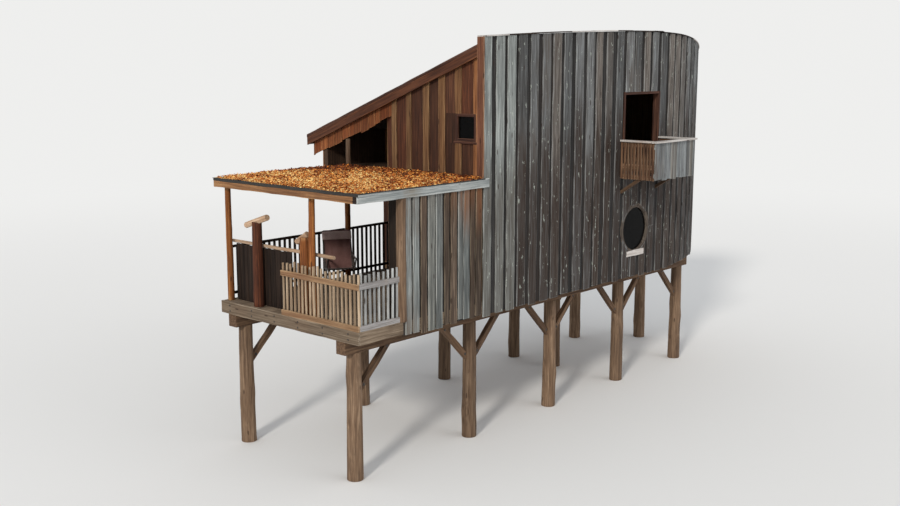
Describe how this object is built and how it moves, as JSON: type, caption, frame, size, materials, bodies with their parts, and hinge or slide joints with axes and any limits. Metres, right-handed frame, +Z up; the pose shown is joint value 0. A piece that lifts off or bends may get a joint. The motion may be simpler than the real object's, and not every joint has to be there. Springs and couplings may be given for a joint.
{
  "type": "tree house",
  "caption": "Board-clad tree house on log stilts with a rounded end, sloping roof, small upper balcony and a flat-roofed porch.",
  "frame": {"origin": "middle of the whole object's plan box, on the ground under the stilts", "axes": "+X along the tall front wall from the porch to the rounded end, +Y from the front wall to the back, +Z up"},
  "size_m": [12.6666, 5.61, 7.62],
  "materials": {
    "log": "peeled log, rough",
    "beam_wood": "sawn, weathered",
    "deck_wood": "sawn boards, worn",
    "grey_boards": "silver-grey weathered boards",
    "brown_boards": "reddish-brown boards",
    "screen_boards": "grey weathered boards with brown stains",
    "fascia_grey": "silver-blue weathered board",
    "fascia_brown": "warm brown board",
    "pole_wood": "debarked, pale",
    "picket_wood": "pale round pickets",
    "dark_boards": "dark weathered boards",
    "balcony_wood": "warm orange-brown bars",
    "cap_wood": "pale weathered rail",
    "roofing": "dark rolled roofing",
    "leaf_litter": "dry needles",
    "frame_wood": "dark red-brown frame",
    "glass": "window glass",
    "interior_wood": "plain boards",
    "chair_metal": "dark painted bars",
    "chair_cloth": "woven cloth"
  },
  "bodies": {
    "root": {"stilts": "log", "knee_braces": "log", "main_beams": "beam_wood", "floor_joists": "beam_wood", "house_floor": "deck_wood", "porch_deck": "deck_wood", "deck_edge_boards": "deck_wood", "porch_posts": "log", "log_posts": "log", "log_post_caps": "pole_wood", "handrail_pole": "pole_wood", "railing_front": "picket_wood", "railing_left": "picket_wood", "railing_boarded": "dark_boards", "railing_rear": "dark_boards", "screen_wall": "screen_boards", "screen_corner_log": "log", "porch_rafters": "beam_wood", "porch_roof": "roofing", "porch_fascia_front": "fascia_grey", "porch_fascia_sides": "fascia_brown", "roof_litter": "leaf_litter", "front_wall_left": "grey_boards", "front_wall_lower": "grey_boards", "front_wall_over_balcony": "grey_boards", "end_wall_front": "grey_boards", "end_wall_nose": "grey_boards", "end_wall_rear": "grey_boards", "rear_wall": "grey_boards", "terrace_side_wall": "brown_boards", "terrace_back_wall": "brown_boards", "rounded_corner": "brown_boards", "gable_wall_front": "brown_boards", "gable_wall_rear": "brown_boards", "gable_wall_upper": "brown_boards", "niche_floor": "deck_wood", "niche_rear_wall": "brown_boards", "niche_header": "brown_boards", "loft_floor": "interior_wood", "main_roof": "roofing", "roof_edge_boards": "brown_boards", "corner_board": "fascia_brown", "door_frames": "frame_wood", "window_frames": "frame_wood", "window_glass": "glass", "round_window_frame": "fascia_grey", "round_window_glass": "glass", "balcony_floor": "deck_wood", "balcony_front": "grey_boards", "balcony_sides": "balcony_wood", "balcony_cap": "cap_wood", "balcony_brackets": "beam_wood", "chair_frame": "chair_metal", "chair_sling": "chair_cloth"}
  },
  "joints": []
}
